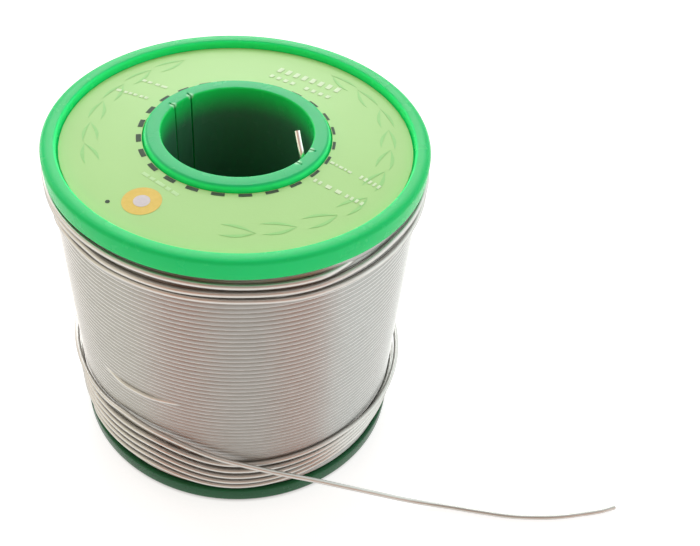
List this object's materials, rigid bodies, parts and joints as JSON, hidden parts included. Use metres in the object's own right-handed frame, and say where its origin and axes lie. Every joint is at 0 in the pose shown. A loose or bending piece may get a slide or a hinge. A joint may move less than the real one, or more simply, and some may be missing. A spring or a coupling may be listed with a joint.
{
  "type": "solder wire spool",
  "caption": "Flanged plastic spool wound with solder wire, with an open bore, annular paper labels and a free wire end lying on the table",
  "frame": {"origin": "centre of the lower collar's face, on the ground plane the spool stands on", "axes": "+Z along the bore, up; +X to the right of the picture's view, the way the free wire end runs; +Y away from the viewer"},
  "size_m": [0.1137, 0.0743, 0.0693],
  "materials": {
    "green_plastic": "glossy, slightly translucent",
    "label_paper": "satin printed paper",
    "solder": "bright drawn tin alloy"
  },
  "bodies": {
    "root": {"upper_flange": "green_plastic", "lower_flange": "green_plastic", "hub_barrel": "green_plastic", "upper_label": "label_paper", "lower_label": "label_paper", "wire_pack": "solder", "wire_top_turns": "solder", "wire_bottom_turns": "solder", "wire_slack_turn": "solder", "wire_free_end": "solder", "wire_start_tail": "solder"}
  },
  "joints": []
}
